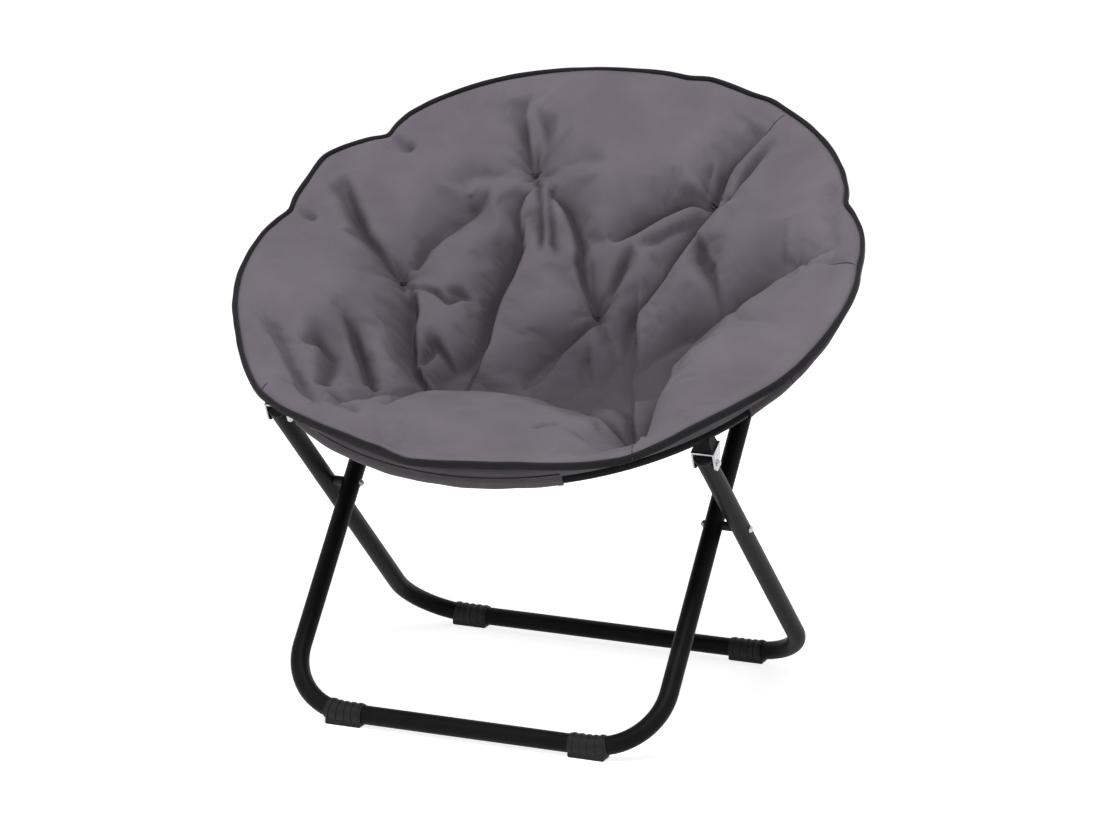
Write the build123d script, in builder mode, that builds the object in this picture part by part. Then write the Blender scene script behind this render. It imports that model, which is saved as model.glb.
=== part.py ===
"""Folding saucer chair: two crossing leg frames under a hinged round seat ring.

Millimetres and degrees.  +Z is up, the sitter faces -Y and +X is the sitter's left.
The origin is on the floor, right under the middle of the seat's rim.
The ring has its own flat frame: u runs in its plane from the low front edge to the high
rear edge, and n stands square to it.  Angles round the ring are counted from its front.
"""
import os
from math import asin, atan2, cos, degrees, hypot, pi, radians, sin, sqrt

from build123d import *

# ---- seat ring -------------------------------------------------------------------
ring_radius = 398.0          # centreline of the bent tube
ring_tube_d = 16.0
ring_wall = 1.2
ring_centre_z = 566.0
seat_tilt = 30.4             # the rear edge is the high one

# ---- hinges that let the ring fold -------------------------------------------------
hinge_u = -148.0             # the fold line lies in front of the ring's middle
hinge_ear_r = 5.0
hinge_ear_t = 3.0
hinge_ear_length = 18.0
hinge_ear_lift = 0.3         # the ear's rim over the other tube
hinge_pin_d = 5.0
hinge_head_d = 8.0
hinge_head_h = 1.8
butt_gap = 0.3               # between the two tube ends, and between the two ears
cut_over = 3.0               # tube swept past the fold line and cut back on it

# ---- leg frames --------------------------------------------------------------------
leg_tube_d = 25.0
leg_wall = 1.5
leg_bend_r = 87.5
inner_half_width = 256.0     # frame with its bar in front, arms rise to the ring's rear
frame_gap = 12.5             # between the arms of the two frames
outer_half_width = inner_half_width + leg_tube_d + frame_gap     # bar behind, arms rise to the front
front_bar_y = -250.0
rear_bar_y = 296.0
arm_past_pivot = 11.0        # tube beyond the ring pivot, without its plug

# ---- pivots ------------------------------------------------------------------------
pivot_drop = 44.0            # ring pivots under the ring's plane
rivet_d = 6.0
running_clearance = 0.05
rivet_head_d = 10.0
rivet_head_h = 3.2
rivet_head_taper = 42.0
bolt_head_h = 4.4
bolt_socket_d = 4.0
bolt_socket_depth = 2.2
spacer_d = 12.0
seat_clearance = 0.3         # between parts that move past each other

# ---- ring brackets -----------------------------------------------------------------
bracket_t = 2.2
bracket_inside = 26.4        # between the two ears
bracket_web_gap = 19.6       # pivot axis to the web
bracket_short_side = 10.0
bracket_long_side = 18.0
ear_end_r = 10.0
saddle_side = 2.0            # how far the saddle stops short of the web's edges
saddle_taper = 12.0
saddle_into_tube = 4.5       # the weld reaches this far into the tube's underside

# ---- plastic parts -----------------------------------------------------------------
plug_flange = 3.0
plug_edge_r = 1.2
plug_stem = 6.5
plug_clearance = 0.1
foot_length = 50.0
foot_into_bend = 25.0        # part of a foot that follows the tube's bend
foot_wall = 1.5
foot_sole = 3.5
foot_sole_width = 20.0
foot_rib_h = 0.9
foot_rib_w = 3.4
foot_rib_count = 5
foot_chamfer = 1.6
foot_clearance = 0.05

# ---- seat --------------------------------------------------------------------------
rim_overhang = 17.0          # bound rim outside the ring's centreline
rim_rise = 25.0              # rim over the ring's plane
belly_share = 0.427          # lowest point of the pad's underside, as a share of the ring
pad_edge_thickness = 6.0
back_share = 0.4             # how far up from the crease the back's foot ends
pad_lip = 10.0               # flat width of the rim before the pad falls away
over_tube_angle = 60.0       # from here the cover lies round the ring tube
sling_thickness = 1.4
binding_width = 11.0
binding_thickness = 5.0
binding_edge = 1.4
sleeve_wall = 0.9
sleeve_clearance = 0.3
split_gap = 0.6              # between the front and rear halves of the cover
hinge_pocket = 1.5           # room round a hinge in the seat
tuft_radius = 34.0

# The pad's main relief, in percent of the ring's radius.  Each row is a cut square to X:
# where it lies, where the deep crease crosses it and how high n is there, then the
# heights of the front cushion, the back's foot, the back and its shoulder.
pad_cuts = (
    (-99, 0, 7.2, 7.5, 7.3, 7.2, 7.4),
    (-95, 13, 5, 6.2, 4.8, 5, 6.3),
    (-76, 13, -5.5, 0, -3, -1.5, 1),
    (-57, 0, -17, -9, -13.5, -9, -1.5),
    (-38, -28, -24.5, -7, -27, -23.5, -8),
    (-19, -23, -36.5, -7.5, -34.5, -26.5, -9.5),
    (0, -18, -39, -8.5, -37, -28.5, -7),
    (19, -23, -35, -7.5, -37, -29.5, -7.5),
    (38, -30, -24.5, -4.5, -26, -21.5, -11.5),
    (57, 0, -18, 0.5, -12, -8, -2),
    (76, 14, -7.5, 6, -3, 0, 2.5),
    (95, 15, 5.2, 6.4, 5, 5.2, 6.3),
    (99, 0, 7.2, 7.5, 7.3, 7.2, 7.4),
)
# Buttoned tufts, in percent of the ring's radius: place across and along, the pad's
# height there, and how deep the button is drawn in.
tufts = (
    (-27, 61, -11, 3.5),
    (39, 56, -11, 3.5),
    (-58, 5, -16.5, 4),
    (3, 24, -31.5, 3),
    (81, 20, -3, 2),
)
front_sleeve_right = -36.0   # sleeve ends, as angles round the ring
front_sleeve_left = 20.8
side_sleeve_start = 57.3
rear_gap_start = 123.0
rear_gap_end = 157.0
sleeve_hinge_gap = 4.0


# ---- places that follow from the sizes ---------------------------------------------
tilt = radians(seat_tilt)
ring_centre_y = rim_rise * sin(tilt)
bar_z = foot_sole + leg_tube_d / 2
hinge_n = ring_tube_d / 2 + hinge_ear_lift + hinge_ear_r
hinge_x = sqrt(ring_radius**2 - hinge_u**2)
hinge_angle = degrees(atan2(hinge_x, -hinge_u))
front_pivot_u = -sqrt(ring_radius**2 - outer_half_width**2)
rear_pivot_u = sqrt(ring_radius**2 - inner_half_width**2)


def ring_yz(u, n):
    """World Y and Z of a point of the ring's frame."""
    return (
        ring_centre_y + u * cos(tilt) - n * sin(tilt),
        ring_centre_z + u * sin(tilt) + n * cos(tilt),
    )


def crossing(a, a_dir, b, b_dir):
    """Point of the YZ plane where two lines meet."""
    det = a_dir[1] * b_dir[0] - a_dir[0] * b_dir[1]
    reach = (b_dir[0] * (b[1] - a[1]) - b_dir[1] * (b[0] - a[0])) / det
    return (a[0] + a_dir[0] * reach, a[1] + a_dir[1] * reach)


front_pivot = ring_yz(front_pivot_u, -pivot_drop)      # outer frame on the ring's front
rear_pivot = ring_yz(rear_pivot_u, -pivot_drop)        # inner frame on the ring's rear
hinge_axis = ring_yz(hinge_u, hinge_n)


class LegFrame:
    """Where one bent frame runs: its bar lies on the floor, its arms reach a ring pivot."""

    def __init__(self, half_width, bar_y, pivot):
        self.half_width = half_width
        self.bar = (bar_y, bar_z)
        self.pivot = pivot
        self.pivot_reach = hypot(pivot[0] - bar_y, pivot[1] - bar_z)
        self.direction = (
            (pivot[0] - bar_y) / self.pivot_reach,
            (pivot[1] - bar_z) / self.pivot_reach,
        )
        self.arm_length = self.pivot_reach + arm_past_pivot
        self.plane = Plane(
            origin=(0, bar_y, bar_z),
            x_dir=(1, 0, 0),
            z_dir=(0, -self.direction[1], self.direction[0]),
        )

    def end_plane(self, side):
        """Plane across one arm's upper end, facing out of the tube."""
        return Plane(
            origin=self.plane.from_local_coords((side * self.half_width, self.arm_length, 0)),
            x_dir=(1, 0, 0),
            z_dir=(0, self.direction[0], self.direction[1]),
        )


inner_frame = LegFrame(inner_half_width, front_bar_y, rear_pivot)
outer_frame = LegFrame(outer_half_width, rear_bar_y, front_pivot)
cross_pivot = crossing(
    inner_frame.bar, inner_frame.direction, outer_frame.bar, outer_frame.direction
)
ring_plane = Plane(
    origin=(0, ring_centre_y, ring_centre_z), x_dir=(1, 0, 0), z_dir=(0, -sin(tilt), cos(tilt))
)
print("front pivot", front_pivot, "rear pivot", rear_pivot)
print("cross pivot", cross_pivot, "hinge axis", hinge_axis)


def finish(piece, name):
    piece.part.label = name
    export_step(piece.part, "parts/" + name + ".step")


os.makedirs("parts", exist_ok=True)


# ---- leg frames: one bent tube each ------------------------------------------------
def leg_frame(frame):
    with BuildPart() as leg:
        with BuildLine(frame.plane) as route:
            FilletPolyline(
                (-frame.half_width, frame.arm_length),
                (-frame.half_width, 0),
                (frame.half_width, 0),
                (frame.half_width, frame.arm_length),
                radius=leg_bend_r,
            )
        with BuildSketch(Plane(origin=route.line @ 0, z_dir=route.line % 0)):
            Circle(leg_tube_d / 2)
            Circle(leg_tube_d / 2 - leg_wall, mode=Mode.SUBTRACT)
        sweep()
        with BuildSketch(Plane.YZ):
            with Locations(frame.pivot, cross_pivot):
                Circle(rivet_d / 2 + running_clearance)
        extrude(amount=frame.half_width + leg_tube_d, both=True, mode=Mode.SUBTRACT)
    return leg


front_leg_frame = leg_frame(inner_frame)
finish(front_leg_frame, "front_leg_frame")
rear_leg_frame = leg_frame(outer_frame)
finish(rear_leg_frame, "rear_leg_frame")


# ---- plugs that close the upper tube ends ------------------------------------------
def arm_plug(plane):
    with BuildPart() as plug:
        with BuildSketch(plane):
            Circle(leg_tube_d / 2)
        extrude(amount=plug_flange)
        outer_edge = plug.edges().filter_by(GeomType.CIRCLE).sort_by(Axis(plane.origin, plane.z_dir))
        fillet(outer_edge[-1], radius=plug_edge_r)
        with BuildSketch(plane):
            Circle(leg_tube_d / 2 - leg_wall - plug_clearance)
        extrude(amount=-plug_stem)
    return plug


for frame, position in ((inner_frame, "rear"), (outer_frame, "front")):
    for side, hand in ((-1, "right"), (1, "left")):
        finish(arm_plug(frame.end_plane(side)), "arm_plug_" + position + "_" + hand)


# ---- ribbed feet, clipped on the bars and the first part of the bends ---------------
def foot(frame, side):
    shell_r = leg_tube_d / 2 + foot_wall
    bend_x = frame.half_width - leg_bend_r
    straight = foot_length - foot_into_bend
    sweep_angle = degrees(foot_into_bend / leg_bend_r)
    to_sole = Plane(
        origin=(side * (bend_x - straight), frame.bar[0], bar_z),
        x_dir=(0, 1, 0),
        z_dir=(side, 0, 0),
    )
    with BuildPart() as piece:
        with BuildLine(frame.plane) as route:
            run = Line((side * (bend_x - straight), 0), (side * bend_x, 0))
            JernArc(run @ 1, run % 1, leg_bend_r, side * sweep_angle)
        wire = route.wires()[0]
        with BuildSketch(Plane(origin=wire @ 0, z_dir=wire % 0)):
            Circle(shell_r)
        sweep(path=wire)
        with BuildSketch(to_sole):
            with Locations((0, -side * bar_z / 2)):
                Rectangle(foot_sole_width, bar_z)
        extrude(amount=foot_length)
        sole_edges = piece.edges().group_by(Axis.Z)[0].filter_by(Axis.Y)
        chamfer(sole_edges, length=foot_chamfer)
        for i in range(foot_rib_count):
            along = (i + 0.5) / foot_rib_count
            with BuildSketch(Plane(origin=wire @ along, z_dir=wire % along)):
                Circle(shell_r + foot_rib_h)
            extrude(amount=foot_rib_w / 2, both=True)
        with BuildLine(frame.plane) as bore:
            start = Line((side * (bend_x - straight - foot_rib_w), 0), (side * bend_x, 0))
            JernArc(start @ 1, start % 1, leg_bend_r, side * sweep_angle * 1.3)
        bore_wire = bore.wires()[0]
        with BuildSketch(Plane(origin=bore_wire @ 0, z_dir=bore_wire % 0)):
            Circle(leg_tube_d / 2 + foot_clearance)
        sweep(path=bore_wire, mode=Mode.SUBTRACT)
        split(bisect_by=Plane.XY, keep=Keep.TOP)
    return piece


for frame, position in ((inner_frame, "front"), (outer_frame, "rear")):
    for side, hand in ((-1, "right"), (1, "left")):
        finish(foot(frame, side), "foot_" + position + "_" + hand)


# ---- ring tubes, with the saddles that carry the brackets and the hinge ears --------
def saddle(side, half_width, pivot_u, inward):
    """Block welded under the tube, as wide as a bracket's web inside its edges."""
    web_top = -pivot_drop + bracket_web_gap + bracket_t
    middle = pivot_u + inward * (bracket_long_side - bracket_short_side) / 2
    length = bracket_long_side + bracket_short_side - 2 * saddle_side
    width = bracket_inside + 2 * bracket_t - 2 * saddle_side
    with BuildPart() as block:
        with BuildSketch(ring_plane.offset(web_top)):
            with Locations((side * half_width, middle)):
                Rectangle(width, length)
        height = -ring_tube_d / 2 + saddle_into_tube - web_top
        extrude(amount=height, taper=saddle_taper)
    return block


def hinge_ear(side, half, x_start):
    """Ear on a tube's end: it stands on the tube and reaches over the joint to the pin."""
    ear_plane = Plane(
        origin=ring_plane.from_local_coords((side * x_start, hinge_u, 0)),
        x_dir=ring_plane.y_dir,
        z_dir=(side, 0, 0),
    )
    near = half * butt_gap / 2
    ear_top = side * (hinge_n + hinge_ear_r)
    ear_bottom = side * (hinge_n - hinge_ear_r)
    with BuildPart() as ear:
        with BuildSketch(ear_plane):
            with BuildLine():
                Polyline(
                    (near, 0),
                    (half * hinge_ear_length, 0),
                    (half * hinge_ear_length, side * ring_tube_d / 2),
                    (half * hinge_ear_r, ear_top),
                    (0, ear_top),
                    (0, ear_bottom),
                    (near, ear_bottom),
                    (near, 0),
                )
            make_face()
            with Locations((0, side * hinge_n)):
                Circle(hinge_ear_r)
        extrude(amount=hinge_ear_t)
    return ear


def ring_tube(half, pivot_u, half_width):
    """Half of the ring: half is -1 in front of the fold line and 1 behind it."""
    reach = hinge_angle + cut_over if half < 0 else 180 - hinge_angle + cut_over
    middle = -90 if half < 0 else 90
    cut = ring_plane.from_local_coords((0, hinge_u + half * butt_gap / 2, 0))
    ear_x = hinge_x + (butt_gap / 2 if half > 0 else -butt_gap / 2 - hinge_ear_t)
    welded = []
    for side in (-1, 1):
        welded.append(saddle(side, half_width, pivot_u, -half))
        welded.append(hinge_ear(side, half, ear_x))
    with BuildPart() as tube:
        with BuildLine(ring_plane) as route:
            CenterArc((0, 0), ring_radius, middle - reach, 2 * reach)
        arc = route.wires()[0]
        with BuildSketch(Plane(origin=arc @ 0, z_dir=arc % 0)):
            Circle(ring_tube_d / 2)
        sweep(path=arc)
        split(bisect_by=Plane(origin=cut, z_dir=ring_plane.y_dir * half), keep=Keep.TOP)
        for block in welded:
            add(block.part)
        with BuildSketch(Plane(origin=arc @ 0, z_dir=arc % 0)):
            Circle(ring_tube_d / 2 - ring_wall)
        sweep(path=arc, mode=Mode.SUBTRACT)
        with BuildSketch(Plane(origin=(0, *hinge_axis), x_dir=(0, 1, 0), z_dir=(1, 0, 0))):
            Circle(hinge_pin_d / 2 + running_clearance)
        extrude(amount=hinge_x + ring_tube_d, both=True, mode=Mode.SUBTRACT)
    return tube


ring_front_tube = ring_tube(-1, front_pivot_u, outer_half_width)
finish(ring_front_tube, "ring_front_tube")
ring_rear_tube = ring_tube(1, rear_pivot_u, inner_half_width)
finish(ring_rear_tube, "ring_rear_tube")


# ---- pins of the ring hinges -------------------------------------------------------
with BuildPart() as ring_hinge_pins:
    stack = hinge_ear_t + butt_gap / 2
    for side in (-1, 1):
        middle = Plane(origin=(side * hinge_x, *hinge_axis), x_dir=(0, 1, 0), z_dir=(1, 0, 0))
        with BuildSketch(middle):
            Circle(hinge_pin_d / 2)
        extrude(amount=stack + hinge_head_h / 2, both=True)
        for end in (-1, 1):
            with BuildSketch(middle.offset(end * stack)):
                Circle(hinge_head_d / 2)
            extrude(amount=end * hinge_head_h, taper=20)
finish(ring_hinge_pins, "ring_hinge_pins")


# ---- brackets between the ring and the arms ----------------------------------------
def bracket(side, half_width, pivot_u, inward):
    half_inside = bracket_inside / 2
    half_outside = half_inside + bracket_t
    web = bracket_web_gap + bracket_t
    middle = Plane(
        origin=ring_plane.from_local_coords((side * half_width, pivot_u, -pivot_drop)),
        x_dir=ring_plane.y_dir,
        z_dir=(1, 0, 0),
    )
    with BuildPart() as piece:
        with BuildSketch(middle):
            with BuildLine():
                Polyline(
                    (-inward * bracket_short_side, web),
                    (inward * bracket_long_side, web),
                    (inward * bracket_long_side, web - ear_end_r / 2),
                    (inward * ear_end_r, -ear_end_r / 4),
                    (-inward * ear_end_r, -ear_end_r / 4),
                    (-inward * bracket_short_side, web),
                )
            make_face()
            Circle(ear_end_r)
        extrude(amount=half_outside, both=True)
        with BuildSketch(middle):
            with Locations((0, bracket_web_gap - 2 * web)):
                Rectangle(8 * bracket_long_side, 4 * web)
        extrude(amount=half_inside, both=True, mode=Mode.SUBTRACT)
        with BuildSketch(middle):
            Circle(rivet_d / 2)
        extrude(amount=half_outside * 2, both=True, mode=Mode.SUBTRACT)
    return piece


for side, hand in ((-1, "right"), (1, "left")):
    front_bracket = bracket(side, outer_half_width, front_pivot_u, 1)
    finish(front_bracket, "ring_bracket_front_" + hand)
    rear_bracket = bracket(side, inner_half_width, rear_pivot_u, -1)
    finish(rear_bracket, "ring_bracket_rear_" + hand)


# ---- rivets through bracket and arm ------------------------------------------------
def across(x, point, facing=1):
    """Plane square to X at a point of the side view."""
    return Plane(origin=(x, *point), x_dir=(0, 1, 0), z_dir=(facing, 0, 0))


def domed_head(plane, height):
    """Low dome that grows along the plane's normal."""
    with BuildPart() as head:
        with BuildSketch(plane):
            Circle(rivet_head_d / 2)
        extrude(amount=height / 3)
        with BuildSketch(plane.offset(height / 3)):
            Circle(rivet_head_d / 2)
        extrude(amount=height * 2 / 3, taper=rivet_head_taper)
    return head


def bracket_rivets(half_width, pivot):
    reach = bracket_inside / 2 + bracket_t
    heads = []
    for side in (-1, 1):
        heads.append(domed_head(across(side * half_width + reach, pivot, 1), rivet_head_h))
        heads.append(domed_head(across(side * half_width - reach, pivot, -1), rivet_head_h))
    with BuildPart() as rivets:
        for side in (-1, 1):
            with BuildSketch(across(side * half_width, pivot)):
                Circle(rivet_d / 2)
            extrude(amount=reach, both=True)
        for head in heads:
            add(head.part)
    return rivets


finish(bracket_rivets(outer_half_width, front_pivot), "bracket_rivets_front")
finish(bracket_rivets(inner_half_width, rear_pivot), "bracket_rivets_rear")


# ---- crossing of the two leg frames ------------------------------------------------
inner_arm_in = inner_half_width - leg_tube_d / 2
inner_arm_out = inner_half_width + leg_tube_d / 2
outer_arm_in = outer_half_width - leg_tube_d / 2
outer_arm_out = outer_half_width + leg_tube_d / 2
bolt_end = outer_arm_in - seat_clearance

bolt_heads = []
for side in (-1, 1):
    bolt_heads.append(domed_head(across(side * inner_arm_in, cross_pivot, -side), bolt_head_h))
with BuildPart() as cross_bolts:
    for side in (-1, 1):
        with BuildSketch(across(side * inner_arm_in, cross_pivot, side)):
            Circle(rivet_d / 2)
        extrude(amount=bolt_end - inner_arm_in)
    for head in bolt_heads:
        add(head.part)
    for side in (-1, 1):
        with BuildSketch(across(side * (inner_arm_in - bolt_head_h), cross_pivot, side)):
            RegularPolygon(bolt_socket_d / 2, 6)
        extrude(amount=bolt_socket_depth, mode=Mode.SUBTRACT)
finish(cross_bolts, "cross_bolts")

with BuildPart() as cross_spacers:
    for side in (-1, 1):
        with BuildSketch(across(side * inner_arm_out, cross_pivot, side)):
            Circle(spacer_d / 2)
            Circle(rivet_d / 2 + running_clearance, mode=Mode.SUBTRACT)
        extrude(amount=bolt_end - inner_arm_out)
finish(cross_spacers, "cross_spacers")

rivet_heads = []
for side in (-1, 1):
    rivet_heads.append(domed_head(across(side * outer_arm_out, cross_pivot, side), rivet_head_h))
with BuildPart() as cross_rivets:
    for side in (-1, 1):
        with BuildSketch(across(side * outer_arm_in, cross_pivot, side)):
            Circle(rivet_d / 2)
        extrude(amount=outer_arm_out - outer_arm_in)
    for head in rivet_heads:
        add(head.part)
finish(cross_rivets, "cross_rivets")


# ---- seat: padded bowl, sling under it, bound rim ----------------------------------
# Profiles are drawn in a plane through the ring's axis: x is the radius, y is n.
profile_plane = Plane(origin=ring_plane.origin, x_dir=(1, 0, 0), z_dir=-ring_plane.y_dir)
ring_axis = Axis(ring_plane.origin, ring_plane.z_dir)
sleeve_outer_r = ring_tube_d / 2 + sleeve_clearance + sleeve_wall
sling_inner_r = sleeve_outer_r + seat_clearance
sling_outer_r = sling_inner_r + sling_thickness
pad_under_r = sling_outer_r + seat_clearance     # pad's underside round the ring tube
percent = ring_radius / 100
rim_radius = ring_radius + rim_overhang
pad_belly_depth = belly_share * ring_radius
pad_rim_r = rim_radius - binding_thickness / 2 - seat_clearance
pad_rim_top = rim_rise + pad_edge_thickness / 2
pad_rim_low = rim_rise - pad_edge_thickness / 2
belly_r = (ring_radius**2 + pad_belly_depth**2 - pad_under_r**2) / (
    2 * (pad_under_r + pad_belly_depth)
)
belly_centre = belly_r - pad_belly_depth         # the underside is part of a sphere
belly_slope = atan2(belly_centre, ring_radius)


def under_point(drop, r_fraction):
    """Point of the underside's big arc, lowered by drop."""
    x = r_fraction * ring_radius
    return (x, belly_centre - sqrt((belly_r + drop) ** 2 - x**2))


def tube_point(distance, angle):
    """Point beside the ring tube, at an angle counted from straight outwards."""
    return (ring_radius + distance * cos(angle), distance * sin(angle))


def underside(drop):
    """Line under the pad, from beside the tube's outer top to the bowl's middle."""
    distance = pad_under_r - drop
    first = radians(over_tube_angle)
    last = pi - belly_slope
    start = tube_point(distance, first)
    touch = tube_point(distance, last)
    return start, tube_point(distance, (first + last) / 2), touch


def pad_cut(row):
    """Plane of one cut and the seven points of the pad's top in it, as (u, n)."""
    across, crease_u, crease_n, cushion, foot_n, back_n, shoulder = row
    x = across * percent
    rim_u = sqrt((pad_rim_r - pad_lip) ** 2 - x**2)
    crease = crease_u * percent
    back = crease + back_share * (rim_u - crease)
    cut_plane = Plane(
        origin=ring_plane.from_local_coords((x, 0, 0)), x_dir=ring_plane.y_dir, z_dir=(1, 0, 0)
    )
    points = (
        (-rim_u, pad_rim_top + seat_clearance),
        ((crease - rim_u) / 2, cushion * percent),
        (crease, crease_n * percent),
        ((crease + back) / 2, foot_n * percent),
        (back, back_n * percent),
        ((back + rim_u) / 2, shoulder * percent),
        (rim_u, pad_rim_top + seat_clearance),
    )
    return cut_plane, points


with BuildPart() as seat_hollow:
    for row in pad_cuts:
        cut_plane, top = pad_cut(row)
        over_rim = pad_rim_top + rim_rise
        with BuildSketch(cut_plane):
            with BuildLine():
                ThreePointArc(top[0], top[1], top[2])
                ThreePointArc(top[2], top[3], top[4])
                ThreePointArc(top[4], top[5], top[6])
                Polyline(top[6], (top[6][0], over_rim), (top[0][0], over_rim), top[0])
            make_face()
    loft()

with BuildPart() as seat_pad:
    with BuildSketch(profile_plane):
        with BuildLine():
            start, middle, touch = underside(0)
            Polyline((0, pad_rim_top), (pad_rim_r, pad_rim_top), (pad_rim_r, pad_rim_low), start)
            ThreePointArc(start, middle, touch)
            ThreePointArc(touch, under_point(0, 0.5), (0, -pad_belly_depth))
            Line((0, -pad_belly_depth), (0, pad_rim_top))
        make_face()
    revolve(axis=ring_axis)
    add(seat_hollow.part, mode=Mode.SUBTRACT)
    for across_x, along_u, surface, depth in tufts:
        x = across_x * percent
        u = along_u * percent
        sink = depth * percent
        sphere_r = (tuft_radius**2 + sink**2) / (2 * sink)
        lean = asin(hypot(x, u) / belly_r)
        inwards = 1 - (sphere_r - sink) * sin(lean) / hypot(x, u)
        height = surface * percent + (sphere_r - sink) * cos(lean)
        with Locations(ring_plane.from_local_coords((x * inwards, u * inwards, height))):
            Sphere(sphere_r, mode=Mode.SUBTRACT)

with BuildPart() as seat_sling:
    with BuildSketch(profile_plane):
        with BuildLine():
            upper, upper_middle, upper_touch = underside(seat_clearance)
            lower, lower_middle, lower_touch = underside(seat_clearance + sling_thickness)
            upper_low = pad_belly_depth + seat_clearance
            lower_low = upper_low + sling_thickness
            rim_x = pad_rim_r - sling_thickness
            rim_n = rim_rise - binding_width / 2 - seat_clearance
            ThreePointArc((0, -upper_low), under_point(seat_clearance, 0.5), upper_touch)
            ThreePointArc(upper_touch, upper_middle, upper)
            Polyline(upper, (rim_x, rim_n), (rim_x + sling_thickness, rim_n), lower)
            ThreePointArc(lower, lower_middle, lower_touch)
            ThreePointArc(
                lower_touch, under_point(seat_clearance + sling_thickness, 0.5), (0, -lower_low)
            )
            Line((0, -lower_low), (0, -upper_low))
        make_face()
    revolve(axis=ring_axis)

with BuildPart() as seat_binding:
    with BuildSketch(profile_plane):
        with Locations((rim_radius, rim_rise)):
            Rectangle(binding_thickness, binding_width)
        chamfer(vertices(), length=binding_edge)
    revolve(axis=ring_axis)


# ---- the soft seat is made in two halves that meet on the fold line -----------------
def hinge_pockets(cover):
    """Room in the cover for the ring's hinges."""
    reach = hinge_ear_t + butt_gap / 2 + hinge_head_h + hinge_pocket
    top = hinge_n + hinge_ear_r + hinge_pocket
    with BuildPart() as cleared:
        add(cover.part)
        for side in (-1, 1):
            with BuildSketch(ring_plane):
                with Locations((side * hinge_x, hinge_u)):
                    Rectangle(2 * reach, 2 * (hinge_ear_length + hinge_pocket))
            extrude(amount=top, mode=Mode.SUBTRACT)
    return cleared


def cover_half(cover, half):
    edge = ring_plane.from_local_coords((0, hinge_u + half * split_gap / 2, 0))
    with BuildPart() as piece:
        add(cover.part)
        split(bisect_by=Plane(origin=edge, z_dir=ring_plane.y_dir * half), keep=Keep.TOP)
    return piece


pad_with_pockets = hinge_pockets(seat_pad)
sling_with_pockets = hinge_pockets(seat_sling)
for half, position in ((-1, "front"), (1, "rear")):
    finish(cover_half(pad_with_pockets, half), "seat_pad_" + position)
    finish(cover_half(sling_with_pockets, half), "seat_sling_" + position)
    finish(cover_half(seat_binding, half), "seat_binding_" + position)


# ---- cloth sleeves that hold the seat on the ring ----------------------------------
def sleeve(start, end):
    """Tube of cloth round the ring between two angles counted from the ring's front."""
    with BuildPart() as cloth:
        with BuildLine(ring_plane) as route:
            CenterArc((0, 0), ring_radius, start - 90, end - start)
        arc = route.wires()[0]
        with BuildSketch(Plane(origin=arc @ 0, z_dir=arc % 0)):
            Circle(sleeve_outer_r)
            Circle(ring_tube_d / 2 + sleeve_clearance, mode=Mode.SUBTRACT)
        sweep(path=arc)
    return cloth


before_hinge = hinge_angle - sleeve_hinge_gap
behind_hinge = hinge_angle + sleeve_hinge_gap
finish(sleeve(front_sleeve_right, front_sleeve_left), "sleeve_front")
finish(sleeve(side_sleeve_start, before_hinge), "sleeve_front_left")
finish(sleeve(-before_hinge, -side_sleeve_start), "sleeve_front_right")
finish(sleeve(behind_hinge, rear_gap_start), "sleeve_rear_left")
finish(sleeve(-rear_gap_start, -behind_hinge), "sleeve_rear_right")
finish(sleeve(rear_gap_end, 360 - rear_gap_end), "sleeve_rear_middle")
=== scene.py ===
"""Folding saucer chair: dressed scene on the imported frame.  Metres, +Z up."""
import math
from collections import namedtuple

import bmesh
import bpy
import numpy as np
from mathutils import Matrix, Vector


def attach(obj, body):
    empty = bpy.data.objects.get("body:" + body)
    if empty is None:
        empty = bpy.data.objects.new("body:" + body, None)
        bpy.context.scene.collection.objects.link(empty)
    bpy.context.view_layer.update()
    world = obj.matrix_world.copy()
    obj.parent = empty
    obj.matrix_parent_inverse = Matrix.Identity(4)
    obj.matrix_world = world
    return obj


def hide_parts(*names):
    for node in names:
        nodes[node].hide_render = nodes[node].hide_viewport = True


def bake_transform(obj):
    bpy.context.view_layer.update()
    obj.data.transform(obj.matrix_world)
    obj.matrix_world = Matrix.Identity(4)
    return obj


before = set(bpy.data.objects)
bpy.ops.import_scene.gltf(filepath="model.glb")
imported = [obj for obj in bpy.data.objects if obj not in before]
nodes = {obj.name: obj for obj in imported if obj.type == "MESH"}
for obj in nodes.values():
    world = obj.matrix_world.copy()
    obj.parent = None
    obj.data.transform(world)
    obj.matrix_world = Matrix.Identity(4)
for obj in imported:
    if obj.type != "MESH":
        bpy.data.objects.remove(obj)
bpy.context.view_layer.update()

# ---- the ring's own frame: u from the low front edge to the high rear one, n square to it
# Lengths in it are in millimetres, and angles round it in degrees.
TILT = math.radians(30.4)
RING_R = 398.0      # middle of the ring's tube
RIM_RISE = 25.0     # the seat's bound edge, over the ring's plane
RING_Y = RIM_RISE * math.sin(TILT)
RING_Z = 566.0
HINGE_ANGLE = 68.1  # where that line meets the ring, from the front
BELLY_R = 516.52    # the seat's underside is part of a sphere of this radius,
BELLY_C = 346.52    # with its centre so far over the ring's plane
PAD_R = 412.0       # where the pad would end if the rim were a true circle


def to_world(x, u, n):
    """Ring frame in millimetres to world metres, for numbers or arrays."""
    y = RING_Y + u * math.cos(TILT) - n * math.sin(TILT)
    z = RING_Z + u * math.sin(TILT) + n * math.cos(TILT)
    return np.stack([np.asarray(x + 0 * y), y, z], axis=-1) / 1000.0


def around(angle, r):
    """x and u of a point at an angle counted from the ring's front, towards +X."""
    a = np.radians(angle)
    return r * np.sin(a), -r * np.cos(a)


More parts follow.
